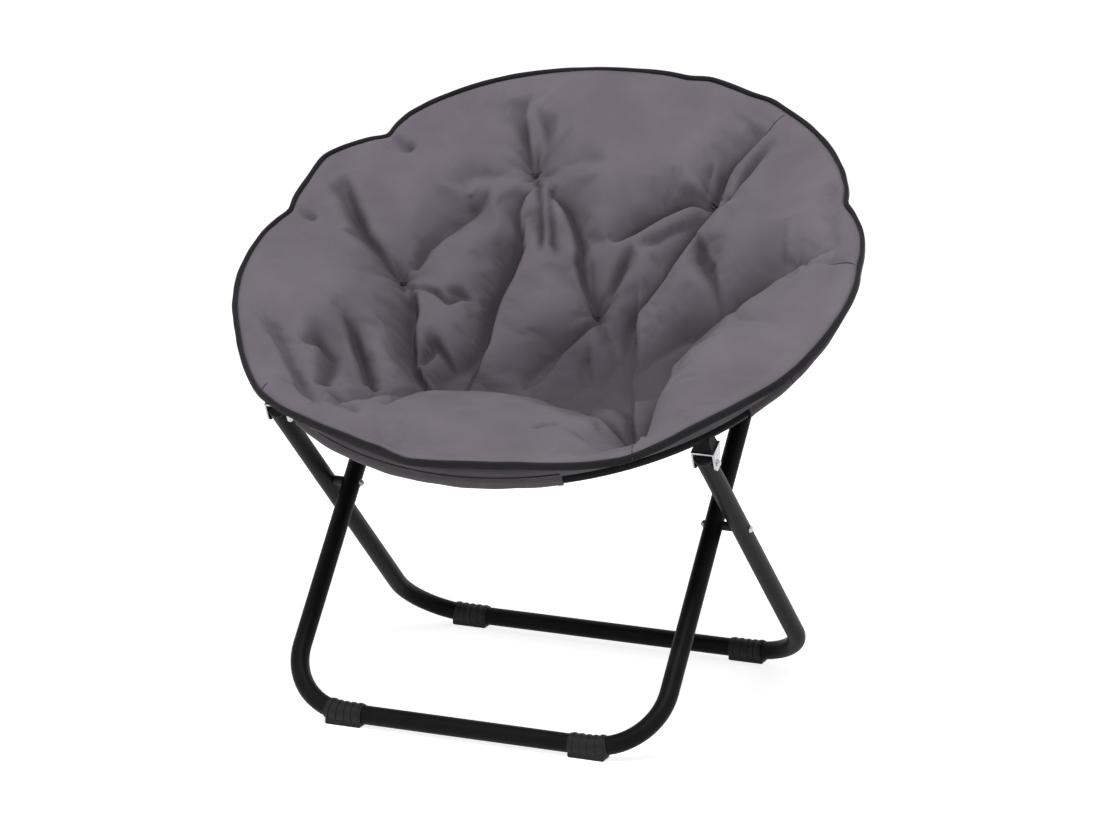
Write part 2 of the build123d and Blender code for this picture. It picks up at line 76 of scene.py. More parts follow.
# ---- camera, first because the folds are placed by where the photograph shows them ------
PHOTO_WIDTH, PHOTO_HEIGHT = 1100, 824
FOCAL_PX = 4507.0
SENSOR_WIDTH = 36.0
AZIMUTH = math.radians(20.03)
ELEVATION = math.radians(12.155)
ROLL = math.radians(1.983)
DISTANCE = 5.9993
TARGET = Vector((0.00027, (RING_Y + 11.7) / 1000.0, 0.38284))

toward_camera = Vector((math.sin(AZIMUTH) * math.cos(ELEVATION),
                        -math.cos(AZIMUTH) * math.cos(ELEVATION), math.sin(ELEVATION)))
level_right = Vector((math.cos(AZIMUTH), math.sin(AZIMUTH), 0))
level_up = toward_camera.cross(level_right)
camera_right = level_right * math.cos(ROLL) + level_up * math.sin(ROLL)
camera_up = level_up * math.cos(ROLL) - level_right * math.sin(ROLL)
EYE = TARGET + toward_camera * DISTANCE
camera_data = bpy.data.cameras.new("camera")
camera = bpy.data.objects.new("camera", camera_data)
bpy.context.scene.collection.objects.link(camera)
camera_data.sensor_width = SENSOR_WIDTH
camera_data.lens = FOCAL_PX * SENSOR_WIDTH / PHOTO_WIDTH
camera_data.clip_end = 100
camera.matrix_world = Matrix.Translation(EYE) @ Matrix(
    (camera_right, camera_up, toward_camera)
).transposed().to_4x4()
bpy.context.scene.camera = camera


def in_photo(px, py, n):
    """x and u of what the photograph shows at a pixel, if it lies at ring height n."""
    ray = camera_right * ((px - PHOTO_WIDTH / 2) / FOCAL_PX)
    ray += camera_up * ((PHOTO_HEIGHT / 2 - py) / FOCAL_PX) - toward_camera
    ring_normal = Vector((0, -math.sin(TILT), math.cos(TILT)))
    ring_back = Vector((0, math.cos(TILT), math.sin(TILT)))
    from_ring = (EYE - Vector((0, RING_Y, RING_Z)) / 1000.0) * 1000.0
    far = (n - from_ring.dot(ring_normal)) / ray.dot(ring_normal)
    return from_ring.x + far * ray.x, from_ring.dot(ring_back) + far * ray.dot(ring_back)


# ---- materials --------------------------------------------------------------------
def rgb(r, g, b):
    """A screen colour, 0 to 255, as the linear one that a socket takes."""
    return tuple(((c / 255.0) / 12.92 if c <= 10 else ((c / 255.0 + 0.055) / 1.055) ** 2.4)
                 for c in (r, g, b)) + (1.0,)


class Nodes:
    """Small helper to write node trees in few lines."""

    def __init__(self, name):
        self.material = bpy.data.materials.new(name)
        self.material.use_nodes = True
        self.tree = self.material.node_tree
        self.shader = self.tree.nodes["Principled BSDF"]
        self.coords = self.tree.nodes.new("ShaderNodeTexCoord")

    def new(self, kind, **sockets):
        node = self.tree.nodes.new(kind)
        for key, value in sockets.items():
            node.inputs[key.replace("_", " ")].default_value = value
        return node

    def link(self, a, b):
        self.tree.links.new(a, b)

    def noise(self, scale, detail=3.0, roughness=0.5):
        node = self.new("ShaderNodeTexNoise", Scale=scale, Detail=detail, Roughness=roughness)
        self.link(self.coords.outputs["Object"], node.inputs["Vector"])
        return node.outputs["Fac"]

    def wave(self, scale, direction, rotation=(0, 0, 0)):
        node = self.new("ShaderNodeTexWave", Scale=scale, Distortion=0.25, Detail=1.0)
        node.wave_type = "BANDS"
        node.bands_direction = direction
        mapping = self.tree.nodes.new("ShaderNodeMapping")
        mapping.inputs["Rotation"].default_value = rotation
        self.link(self.coords.outputs["Object"], mapping.inputs["Vector"])
        self.link(mapping.outputs["Vector"], node.inputs["Vector"])
        return node.outputs["Fac"]

    def ramp(self, value, low, high, start=0.3, end=0.7):
        node = self.tree.nodes.new("ShaderNodeValToRGB")
        node.color_ramp.elements[0].position = start
        node.color_ramp.elements[0].color = low
        node.color_ramp.elements[1].position = end
        node.color_ramp.elements[1].color = high
        self.link(value, node.inputs["Fac"])
        return node.outputs["Color"]

    def math(self, operation, a, b):
        node = self.tree.nodes.new("ShaderNodeMath")
        node.operation = operation
        for i, v in enumerate((a, b)):
            if isinstance(v, (int, float)):
                node.inputs[i].default_value = v
            else:
                self.link(v, node.inputs[i])
        return node.outputs["Value"]

    def bump(self, height, strength, distance):
        node = self.new("ShaderNodeBump", Strength=strength, Distance=distance)
        self.link(height, node.inputs["Height"])
        self.link(node.outputs["Normal"], self.shader.inputs["Normal"])

    def colour(self, output):
        self.link(output, self.shader.inputs["Base Color"])

    def set(self, **values):
        for key, value in values.items():
            self.shader.inputs[key.replace("_", " ")].default_value = value


def cloth(name, low, high, weave=900.0, sheen=0.25, painted_shade_colour=None):
    """Woven polyester; a shade colour, if given, is painted shade, mixed into the cloth's colour as
    far as the pad's painted shade attribute says.
    """
    m = Nodes(name)
    tone = m.ramp(m.noise(14.0, 4.0), low, high, 0.35, 0.68)
    if painted_shade_colour:
        # painted shade: the colour darkens towards the shade colour in folds, hollows and the bowl's
        # bottom
        depth = m.tree.nodes.new("ShaderNodeAttribute")
        depth.attribute_name = "fold_depth"
        shade_mix = m.new("ShaderNodeMix")
        shade_mix.data_type = "RGBA"
        m.link(depth.outputs["Fac"], shade_mix.inputs["Factor"])
        colour_in = [i for i in shade_mix.inputs if i.type == "RGBA"]
        colour_out = [o for o in shade_mix.outputs if o.type == "RGBA"]
        m.link(tone, colour_in[0])
        colour_in[1].default_value = painted_shade_colour
        tone = colour_out[0]
    m.colour(tone)
    m.set(Roughness=0.85, Sheen_Weight=sheen, Sheen_Roughness=0.5, Specular_IOR_Level=0.25)
    warp = m.wave(weave, "X")
    weft = m.wave(weave, "Y", (math.radians(25), 0, 0))
    threads = m.math("MULTIPLY", m.math("ADD", warp, weft), 0.12)
    small_creases = m.noise(38.0, 5.0, roughness=0.6)
    m.bump(m.math("ADD", small_creases, threads), strength=0.5, distance=0.0012)
    return m.material


def metal(name, low, high, rough_low, rough_high, metallic, grain=220.0, bump=0.00008, gloss=0.5):
    """Metal, or with metallic 0 a coat or plastic; both colour and roughness vary a little."""
    m = Nodes(name)
    speck = m.noise(grain, 5.0)
    m.colour(m.ramp(m.noise(30.0, 3.0), low, high))
    rough = m.ramp(speck, (rough_low,) * 3 + (1,), (rough_high,) * 3 + (1,))
    m.link(rough, m.shader.inputs["Roughness"])
    m.set(Metallic=metallic, Specular_IOR_Level=gloss)
    m.bump(speck, 0.35, bump)
    return m.material


# the pad's last colour is a painted shade colour for its folds, hollows and the bowl's bottom
pad_cloth = cloth(
    "pad_cloth", rgb(108, 101, 110), rgb(117, 110, 119), sheen=0.08, painted_shade_colour=rgb(42, 39, 46)
)
sling_cloth = cloth("sling_cloth", rgb(80, 76, 80), rgb(90, 85, 89), sheen=0.1)
sleeve_cloth = cloth("sleeve_cloth", rgb(88, 83, 87), rgb(98, 93, 97), sheen=0.1)
binding_tape = cloth("binding_tape", rgb(20, 19, 22), rgb(29, 28, 31), weave=500.0, sheen=0.04)
thread = cloth("thread", rgb(48, 46, 50), rgb(62, 60, 64), weave=1500.0)
powder_coat = metal(
    "powder_coat", rgb(16, 15, 17), rgb(24, 22, 24), 0.4, 0.55, 0.0, 700.0, 0.0001, gloss=0.07
)
zinc = metal("zinc_plate", rgb(158, 159, 161), rgb(196, 197, 200), 0.22, 0.4, 1.0)
steel = metal("plain_steel", rgb(140, 140, 142), rgb(172, 172, 174), 0.3, 0.45, 1.0)
plastic = metal(
    "moulded_plastic", rgb(16, 16, 17), rgb(24, 24, 25), 0.5, 0.65, 0.0, 300.0, gloss=0.25
)

# the CAD's own pieces; the soft ones among them are replaced further down
for name, obj in nodes.items():
    if name.startswith(("ring_bracket", "bracket_rivets", "cross_rivets")):
        chosen = zinc
    elif name in ("cross_bolts", "ring_hinge_pins"):
        chosen = steel
    elif name.startswith(("arm_plug", "foot", "cross_spacers")):
        chosen = plastic
    elif name.startswith("seat_pad"):
        chosen = pad_cloth
    elif name.startswith(("sleeve", "seat_sling")):
        chosen = sleeve_cloth
    elif name.startswith("seat_binding"):
        chosen = binding_tape
    else:
        chosen = powder_coat
    obj.data.materials.clear()
    obj.data.materials.append(chosen)


# ---- mesh helpers -----------------------------------------------------------------
def mesh_object(name, points, faces, material, smooth=True):
    """Object from world points and faces; a smooth one has all its faces turned outward."""
    mesh = bpy.data.meshes.new(name)
    mesh.from_pydata([tuple(p) for p in points], [], [tuple(f) for f in faces])
    mesh.materials.append(material)
    if smooth:
        bm = bmesh.new()
        bm.from_mesh(mesh)
        bmesh.ops.recalc_face_normals(bm, faces=bm.faces)
        bm.to_mesh(mesh)
        bm.free()
        mesh.polygons.foreach_set("use_smooth", [True] * len(mesh.polygons))
    mesh.update()
    obj = bpy.data.objects.new(name, mesh)
    bpy.context.scene.collection.objects.link(obj)
    return obj


def strip_faces(rows, columns, close_rows=False, close_columns=False, offset=0):
    """Quads between the points of a grid that are counted row by row."""
    faces = []
    for i in range(rows if close_rows else rows - 1):
        for j in range(columns if close_columns else columns - 1):
            a = i * columns + j
            b = i * columns + (j + 1) % columns
            c = ((i + 1) % rows) * columns + (j + 1) % columns
            d = ((i + 1) % rows) * columns + j
            faces.append([offset + k for k in (a, b, c, d)])
    return faces


def smooth_noise(x, y, cell, seed):
    """Value noise with smooth steps, -1 to 1; cell is the size of its squares."""
    size = 256
    table = np.random.default_rng(seed).uniform(-1, 1, (size, size))
    gx, gy = x / cell + 1000.3, y / cell + 1000.7  # shifted, so that the middle is no corner
    ix, iy = np.floor(gx).astype(int), np.floor(gy).astype(int)
    fx, fy = gx - ix, gy - iy
    fx, fy = fx * fx * (3 - 2 * fx), fy * fy * (3 - 2 * fy)
    a, b = table[ix % size, iy % size], table[(ix + 1) % size, iy % size]
    c, d = table[ix % size, (iy + 1) % size], table[(ix + 1) % size, (iy + 1) % size]
    return (a * (1 - fx) + b * fx) * (1 - fy) + (c * (1 - fx) + d * fx) * fy


# ---- rim line: the real one isn't a true circle, and is drawn in at its seams ---------
# The middle of the black binding in the photograph, clockwise from the top of the back.
RIM_SEEN = [
    (600, 69), (637, 71), (670, 75), (690, 80), (712, 81), (732, 88), (752, 96), (772, 102),
    (789, 113), (812, 130), (832, 152), (843, 173), (847, 190), (845, 203), (854, 214),
    (862, 234), (862, 255), (859, 269), (857, 285), (850, 303), (838, 323), (822, 343),
    (800, 366), (778, 384), (750, 400), (713, 419), (690, 430), (660, 445), (625, 459),
    (587, 465), (560, 467), (520, 467), (470, 466), (432, 464), (405, 461), (380, 449),
    (345, 436), (305, 420), (278, 407), (258, 391), (245, 365), (238, 335), (235, 305),
    (240, 275), (250, 253), (265, 231), (280, 218), (290, 212), (295, 198), (308, 180),
    (325, 157), (345, 148), (375, 139), (389, 138), (395, 128), (410, 115), (432, 104),
    (470, 90), (515, 78), (560, 71),
]
rim_places = []
for seen_x, seen_y in RIM_SEEN:
    rim_x, rim_u = in_photo(seen_x, seen_y, RIM_RISE)
    rim_places.append((math.degrees(math.atan2(rim_x, -rim_u)), math.hypot(rim_x, rim_u)))
rim_places.sort()
RIM_ANGLES = [a + turn for turn in (-360, 0, 360) for a, _ in rim_places]
RIM_RADII = [r for _, r in rim_places] * 3
LEAST_RIM, MOST_RIM = 378, 429


def rim_radius(angle):
    """Radius of the bound edge at an angle from the front, its corners rounded off."""
    total = 0
    for shift, weight in ((-1.1, 0.25), (0, 0.5), (1.1, 0.25)):
        total = total + weight * np.interp(np.asarray(angle) + shift, RIM_ANGLES, RIM_RADII)
    return np.clip(total, LEAST_RIM, MOST_RIM)


def rim_height(angle):
    """Height of the bound edge, which waves by a millimetre or two."""
    a = np.radians(angle)
    return RIM_RISE + 1.5 * np.sin(5 * a + 1.0) + 1.2 * np.sin(9 * a)


# ---- padded bowl ------------------------------------------------------------------
# Places on the bowl without its lobes and folds, on its middle line and on the +X side,
# which is mirrored: x, u and height.
# Most places on the middle line were worked out from the photograph, then rounded.
CONTROL = [
    (0, -383, 8), (0, -325, 0), (0, -234, -46), (0, -140, -98), (0, -85, -132),
    (0, -50, -150), (0, 57, -132), (0, 167, -82), (0, 289, -16), (0, 380, 15),
    (100, -370, 8), (100, -300, -8), (100, -200, -64), (100, -120, -106), (100, -60, -126),
    (100, 57, -112), (100, 167, -68), (100, 289, -10), (180, -320, 10), (180, -250, -16),
    (180, -170, -50), (180, -80, -76), (180, 60, -76), (180, 167, -44), (180, 270, -4),
    (250, -250, 8), (250, -150, -20), (250, -50, -36), (250, 60, -38), (250, 167, -16),
    (250, 250, 6), (330, -130, 10), (330, 0, 2), (330, 120, 5),
]


SPLINE_UNIT = 100  # millimetres; distances in it keep the equations well balanced


def solve_base():
    """Points and weights of the thin plate spline through CONTROL and round the rim."""
    points = []
    for x, u, n in CONTROL:
        points.append((x, u, n))
        if x:
            points.append((-x, u, n))
    for angle in range(0, 360, 15):
        points.append((*around(angle, PAD_R), RIM_RISE - 1.0))
        if angle % 30 == 0:
            points.append((*around(angle, PAD_R - 27), RIM_RISE - 10.0))
    p = np.array(points, float)
    d = np.hypot(p[:, None, 0] - p[None, :, 0], p[:, None, 1] - p[None, :, 1]) / SPLINE_UNIT
    k = np.where(d > 0, d**2 * np.log(d + 1e-12), 0)
    k += np.eye(len(p)) * 0.05  # lets the surface pass a little beside its points
    ones = np.column_stack([np.ones(len(p)), p[:, :2] / SPLINE_UNIT])
    top = np.hstack([k, ones])
    bottom = np.hstack([ones.T, np.zeros((3, 3))])
    weights = np.linalg.solve(np.vstack([top, bottom]), np.concatenate([p[:, 2], np.zeros(3)]))
    return p, weights


BASE_POINTS, BASE_WEIGHTS = solve_base()


def base_height(x, u):
    """Height of the bowl without its lobes and folds."""
    p, w = BASE_POINTS, BASE_WEIGHTS
    total = w[-3] + w[-2] * x / SPLINE_UNIT + w[-1] * u / SPLINE_UNIT
    for (px, pu, _), weight in zip(p, w):
        d = np.hypot(x - px, u - pu) / SPLINE_UNIT
        total = total + weight * d**2 * np.log(d + 1e-12)
    return total


Fold = namedtuple("Fold", "seen depth left right first last at")
# seen: where the photograph shows the fold, in pixels.  depth, and the widths of its left
# and right banks as one goes along it, in millimetres.  first, last: share of the depth at
# its ends.  at: how far down its bank the line shows, as a share of the depth.
FOLDS = {
    # right wall: the front lobe and the side panel fold over what lies behind them
    "right_lobe": Fold([(801, 264), (783, 276), (760, 291), (736, 307), (710, 326), (690, 343),
                        (677, 358), (665, 380), (652, 403), (644, 420), (639, 434)],
                       64, 4, 52, 0.6, 0.9, 0.05),
    "right_panel": Fold([(785, 116), (760, 138), (735, 162), (726, 172), (718, 186), (713, 203),
                         (700, 222), (680, 250), (660, 280), (645, 300), (635, 312)],
                        40, 4, 22, 0.1, 1.0, 0.1),
    "right_foot": Fold([(635, 312), (633, 325), (633, 350), (631, 385), (631, 426)],
                       50, 4, 30, 0.8, 1.0, 0.1),
    "beside_seam": Fold([(771, 148), (752, 170), (735, 190), (722, 203)], 17, 7, 9, 0.1, 1, 0.6),
    "curl": Fold([(716, 162), (708, 178), (705, 192), (713, 203)], 15, 5, 10, 0.2, 1.0, 0.6),
    "long_shade": Fold([(713, 201), (690, 206), (660, 219), (635, 233), (608, 247)],
                       30, 7, 17, 1.0, 0.1, 0.5),
    "under_shade": Fold([(635, 250), (660, 240), (690, 222), (708, 205)], 10, 7, 7, 0, 1, 0.6),
    "panel_dent": Fold([(696, 238), (706, 256), (715, 275), (720, 305)], 24, 5, 16, 0.2, 1, 0.3),
    "panel_nick": Fold([(731, 282), (738, 291), (752, 293), (768, 286)], 18, 5, 9, 0.2, 0.7, 0.4),
    "lobe_tip": Fold([(801, 264), (770, 262), (750, 255)], 13, 7, 12, 1.0, 0.0, 0.5),
    "lobe_dent": Fold([(735, 308), (742, 320), (760, 322)], 7, 10, 8, 0.4, 0.6, 0.5),
    # the middle of the back
    "leaf": Fold([(530, 88), (524, 105), (521, 120), (526, 140), (530, 165), (537, 175)],
                 19, 5, 16, 0.0, 1.0, 0.3),
    "leaf_right": Fold([(536, 108), (548, 130), (548, 150), (541, 172)], 13, 16, 6, 0, 1, 0.3),
    "left_of_tuft": Fold([(445, 190), (475, 178), (510, 175), (537, 175)], 11, 16, 16, 0, 1, 0.7),
    "right_of_tuft": Fold([(537, 175), (560, 168), (590, 163), (625, 165)], 10, 15, 15, 1, 0, 0.7),
    "arch": Fold([(533, 186), (523, 196), (517, 212), (518, 235), (519, 248)],
                 20, 5, 13, 0.5, 1.0, 0.2),
    "middle_left": Fold([(519, 248), (510, 270), (497, 300), (488, 325), (480, 350), (472, 375),
                         (467, 390)], 42, 4, 22, 0.9, 1.0, 0.1),
    "pleat_left": Fold([(540, 183), (541, 205), (540, 235), (540, 262)], 14, 6, 6, 1, 0, 0.7),
    "pleat_right": Fold([(552, 192), (549, 215), (552, 245), (558, 268)], 12, 6, 6, 1, 0, 0.7),
    "middle_right": Fold([(553, 195), (566, 210), (575, 230), (580, 250), (578, 265), (585, 290),
                          (597, 315)], 24, 22, 5, 0.6, 1.0, 0.3),
    "low_tuft_up": Fold([(590, 258), (592, 280), (594, 300), (597, 315)], 11, 6, 6, 0.2, 1, 0.7),
    "low_tuft_right": Fold([(597, 315), (610, 298), (622, 275), (634, 250)], 18, 8, 10, 1, 0.1, 0.7),
    "low_tuft_left": Fold([(597, 318), (580, 335), (560, 355), (545, 375), (525, 392)],
                          22, 7, 17, 1.0, 0.4, 0.5),
    "low_tuft_down": Fold([(590, 345), (588, 370), (586, 400)], 15, 6, 10, 0.1, 0.8, 0.5),
    "low_tuft_foot": Fold([(600, 320), (612, 345), (618, 370), (616, 395)], 16, 9, 9, 1, 0.5, 0.5),
    # left wall
    "left_long": Fold([(332, 165), (345, 190), (352, 210), (365, 235), (380, 252), (395, 270),
                       (402, 281)], 24, 9, 14, 0.2, 1.0, 0.5),
    "left_high": Fold([(417, 266), (428, 250), (445, 235), (465, 220), (480, 210), (492, 192)],
                      17, 9, 8, 1.0, 0.2, 0.6),
    "left_short": Fold([(402, 281), (420, 286), (435, 293), (447, 303), (462, 298), (480, 305)],
                       14, 7, 7, 1.0, 0.1, 0.6),
    "left_nick": Fold([(445, 293), (460, 294), (472, 300)], 10, 7, 6, 0.4, 0.4, 0.6),
    "left_deep": Fold([(412, 290), (413, 310), (409, 335), (411, 358), (420, 375), (432, 388)],
                      36, 5, 15, 0.7, 1.0, 0.2),
    "left_beside": Fold([(402, 283), (407, 310), (410, 345), (412, 380)], 15, 8, 8, 1, 0.5, 0.5),
    "left_zigzag": Fold([(425, 350), (420, 362), (436, 347), (450, 366), (470, 390)],
                        17, 7, 7, 0.3, 1.0, 0.5),
    "spike": Fold([(348, 320), (352, 340), (358, 360), (368, 388)], 28, 15, 4, 0.1, 1.0, 0.4),
    "left_edge": Fold([(252, 308), (265, 322), (278, 340), (290, 365), (300, 385), (308, 397)],
                      19, 15, 5, 0.2, 0.8, 0.2),
    "hook": Fold([(287, 363), (296, 370), (300, 382)], 12, 6, 5, 0.5, 0.8, 0.5),
    "left_dent": Fold([(300, 347), (318, 346), (330, 360), (325, 385)], 18, 11, 9, 0.2, 1, 0.6),
    "left_foot": Fold([(330, 390), (345, 397), (362, 398), (377, 392)], 18, 8, 8, 0.6, 1, 0.3),
    # where the rim is drawn in
    "rim_left_high": Fold([(388, 140), (405, 148), (415, 151)], 14, 8, 9, 1.0, 0.0, 0.3),
    "rim_left": Fold([(290, 212), (305, 218), (318, 220)], 15, 9, 8, 1.0, 0.0, 0.3),
    "rim_right_high": Fold([(845, 205), (838, 200), (828, 190)], 16, 9, 9, 1.0, 0.0, 0.3),
    "rim_right": Fold([(858, 268), (835, 262), (801, 262)], 7, 6, 6, 1.0, 0.6, 0.3),
    "rim_front": Fold([(405, 464), (396, 455), (390, 446)], 8, 9, 9, 1.0, 0.0, 0.3),
    # the front roll hangs over the bottom of the bowl, and has its own slack
    "front_roll": Fold([(345, 397), (372, 393), (410, 389), (467, 390), (520, 396), (560, 403),
                        (600, 412), (630, 424)], 40, 34, 5, 0.7, 1.0, 0.0),
    "roll_left": Fold([(408, 392), (395, 404), (380, 412)], 9, 7, 12, 0.8, 0.0, 0.3),
    "roll_end": Fold([(330, 398), (352, 410), (360, 420)], 9, 9, 7, 0.8, 0.0, 0.3),
    "roll_dent": Fold([(535, 435), (545, 430), (555, 432)], 9, 9, 9, 0.6, 0.6, 0.5),
    "roll_right": Fold([(595, 436), (615, 430), (634, 431)], 10, 7, 7, 0.2, 1.0, 0.3),
    "roll_low": Fold([(560, 432), (590, 440), (620, 445), (633, 440)], 8, 7, 7, 0.2, 1.0, 0.3),
    "lobe_foot": Fold([(690, 418), (679, 428), (668, 436)], 9, 6, 10, 0.2, 1.0, 0.3),
}

# where the pad swells over what lies beside it or, with a height below 0, is hollow:
# x, u, height, width
LOBES = [
    (246, -128, 34, 66), (300, -40, 16, 56), (196, -215, 12, 60), (30, -200, 10, 90),
    (-90, -215, 6, 70), (255, 110, 10, 56), (-20, 190, 5, 60), (-300, -60, 12, 56),
    (130, 80, 12, 34), (-78, 60, 8, 34), (-160, 110, 7, 46), (-256, 150, 6, 60),
    (172, -52, -34, 38), (168, 20, -22, 34), (230, 34, -16, 30), (264, 62, -18, 24),
    (-135, -85, -28, 34), (52, -86, -18, 42), (-215, -185, -18, 34), (-260, -150, -10, 26),
    (92, -30, -12, 22), (-88, 205, 9, 13), (-66, 190, 7, 12), (60, 230, 6, 60),
    (-120, -20, 4, 26),
]


def puffed_height(x, u):
    """Top of the pad with its lobes, before folds and tufts."""
    n = base_height(x, u)
    for lobe_x, lobe_u, height, width in LOBES:
        n = n + height * np.exp(-((x - lobe_x) ** 2 + (u - lobe_u) ** 2) / (2 * width**2))
    return n


def on_bowl(px, py, sink=0.0):
    """x and u of the first place on the bowl, sunk by so much, that a pixel's ray meets.

    A ray that misses the bowl counts as meeting it at the rim's height.
    """
    heights = np.arange(45.0, -230.0, -1.0)
    x, u = in_photo(px, py, heights)
    met = (np.hypot(x, u) < MOST_RIM + 3) & (heights < puffed_height(x, u) - sink)
    first = int(np.argmax(met)) if met.any() else int(heights[0] - RIM_RISE)
    return float(x[first]), float(u[first])


PATHS = {
    name: [on_bowl(px, py, fold.depth * fold.at) for px, py in fold.seen]
    for name, fold in FOLDS.items()
}

# tufts without buttons: pixel, then depth and width in millimetres
TUFTS_SEEN = {
    "back": (537, 175, 19, 20),
    "right": (715, 201, 21, 22),
    "left": (403, 281, 20, 22),
    "low": (597, 315, 19, 20),
    "far_right": (801, 264, 8, 16),
}
TUFTS = [(*on_bowl(px, py, 0.85 * (depth + 8)), depth, width)
         for px, py, depth, width in TUFTS_SEEN.values()]


def beside_path(x, u, path):
    """Distance to a path of straight pieces, its side, and the share of it that is passed.

    The side is 1 on the left and -1 on the right.
    """
    best = np.full(x.shape, 1e9)
    side = np.ones(x.shape)
    along = np.zeros(x.shape)
    lengths = [math.dist(a, b) for a, b in zip(path, path[1:])]
    total, done = sum(lengths), 0.0
    for (ax, au), (bx, bu), length in zip(path, path[1:], lengths):
        if length < 0.5:
            continue
        dx, du = (bx - ax) / length, (bu - au) / length
        s = np.clip((x - ax) * dx + (u - au) * du, 0, length)
        d = np.hypot(x - ax - s * dx, u - au - s * du)
        nearer = d < best
        best = np.where(nearer, d, best)
        side = np.where(nearer, np.sign(dx * (u - au) - du * (x - ax)), side)
        along = np.where(nearer, (done + s) / total, along)
        done += length
    return best, side, along


def belly(r):
    """Height of the bowl's underside."""
    return BELLY_C - np.sqrt(np.maximum(BELLY_R**2 - r**2, 1.0))


JOINING = 2.6       # how far the deeper one of two folds that meet wins
WIDE_BANK = 16      # a bank wider than this is steeper near the fold's bottom
DEEP_CREASE = 34    # folds from this depth on get a painted dark shade line in their bottom,
CREASE_WIDTH = 5.0  # which fades out over this distance


def valleys(x, u):
    """Depth of the folds and tufts below the puffed surface."""
    sunk = np.zeros(x.shape)
    # no fold runs quite straight, and each is deeper in its middle than between its ends
    wobble = 1.8 * smooth_noise(x, u, 46, 3) + 0.6 * smooth_noise(x, u, 20, 4)
    for name, fold in FOLDS.items():
        d, side, along = beside_path(x + wobble, u + 0.7 * wobble, PATHS[name])
        keep = fold.first + (fold.last - fold.first) * along
        keep = np.minimum(1.0, keep + 3.2 * along * (1 - along))
        width = np.where(side > 0, fold.left, fold.right)
        near = np.exp(-((d / width) ** 1.5))
        near = np.where(width > WIDE_BANK, 0.66 * near + 0.34 * np.exp(-d / 7), near)
        sunk = sunk + (fold.depth * keep * near) ** JOINING
    for tx, tu, depth, width in TUFTS:
        d = np.hypot(x - tx, u - tu)
        sunk = sunk + ((depth + 10) * np.exp(-d / width)) ** JOINING
    return sunk ** (1 / JOINING)


def painted_crease_shade(x, u):
    """Painted shade line: 1 in the bottom of the deep folds, where cloth meets cloth, and 0 a few mm
    beside it.
    """
    lines = np.zeros(x.shape)
    for name, fold in FOLDS.items():
        if fold.depth >= DEEP_CREASE:
            d, _, along = beside_path(x, u, PATHS[name])
            keep = fold.first + (fold.last - fold.first) * along
            lines = np.maximum(lines, keep * np.exp(-((d / CREASE_WIDTH) ** 2)))
    return lines


def top_height(x, u):
    """Top of the pad with its folds, its tufts and the small pleats that fan out from them."""
    r = np.hypot(x, u)
    n = puffed_height(x, u)
    for i, (tx, tu, _, _) in enumerate(TUFTS):
        d = np.hypot(x - tx, u - tu)
        a = np.arctan2(u - tu, x - tx)
        fan = np.sin(7 * a + i) + 0.6 * np.sin(11 * a + 2 * i)
        n = n + 2.4 * fan * np.exp(-d / 34) * np.clip(d / 12, 0, 1)
    # folds and slack fade out towards the rim
    edge = np.clip((PAD_R + 12 - r) / 46, 0, 1)
    n = n - valleys(x, u) * edge
    slack = 1.9 * smooth_noise(x, 0.6 * u, 44, 11) + 1.0 * smooth_noise(0.7 * x, u, 21, 12)
    return n + slack * edge


LINING_GAP = 3.0    # between the pad's underside and the cloth under it, in millimetres
GRID = 240          # squares across the pad
SIM_GRID = 120      # and across the coarser copy that is simulated
SIM_STEPS = 20
MOST_SWELL = 0.009  # metres that the simulation may move a point


def disk_grid(count):
    """x and u of an even grid on the unit disk."""
    g = np.linspace(-1, 1, count + 1)
    a, b = np.meshgrid(g, g, indexing="ij")
    a_big = np.abs(a) > np.abs(b)
    with np.errstate(divide="ignore", invalid="ignore"):
        phi = np.where(a_big, (np.pi / 4) * (b / np.where(a == 0, 1, a)),
                       np.pi / 2 - (np.pi / 4) * (a / np.where(b == 0, 1, b)))
    rad = np.where(a_big, a, b)
    return rad * np.cos(phi), rad * np.sin(phi)


def pad_surface(count):
    """Even grid over the pad: x, u, height of its top and underside, and share of the way out."""
    dx, du = disk_grid(count)
    unit = np.hypot(dx, du)
    angle = np.degrees(np.arctan2(dx, -du))
    # the outer part follows the rim, which isn't a true circle
    reach = rim_radius(angle) - 2.2
    outer = np.clip((unit - 0.7) / 0.3, 0, 1)
    scale = PAD_R + (reach - PAD_R) * outer**2
    x, u = dx * scale, du * scale
    n = top_height(x, u)
    # the edge rolls over into the binding
    edge = np.clip((unit - 0.9) / 0.1, 0, 1)
    edge = edge * edge * (3 - 2 * edge)
    rolled = rim_height(angle) + 3.5 - 6.0 * np.clip((unit - 0.985) / 0.015, 0, 1) ** 2
    n = n * (1 - edge) + rolled * edge
    # the underside lies on the sling, and over the ring's tube
    r = np.hypot(x, u)
    tube = np.clip((r - (RING_R - 20)) / 10, 0, 1)
    over_tube = 12.5 + 6 * np.clip((r - RING_R) / 14, 0, 1)
    under = (belly(r) + LINING_GAP) * (1 - tube) + over_tube * tube
    n = np.maximum(n, under + 6.5)
    return x, u, n, np.minimum(under, n - 5), unit


def closed_pad(count, top, low):
    """Points and faces of the pad, its two skins joined along the rim."""
    side = count + 1
    border = np.zeros((side, side), bool)
    border[0, :] = border[-1, :] = border[:, 0] = border[:, -1] = True
    border = border.reshape(-1)
    inside = np.flatnonzero(~border)
    index = np.arange(side * side)
    index[inside] = side * side + np.arange(len(inside))
    faces = strip_faces(side, side)
    under_faces = [[int(index[k]) for k in reversed(f)] for f in faces]
    return np.vstack([top, low[inside]]), faces + under_faces


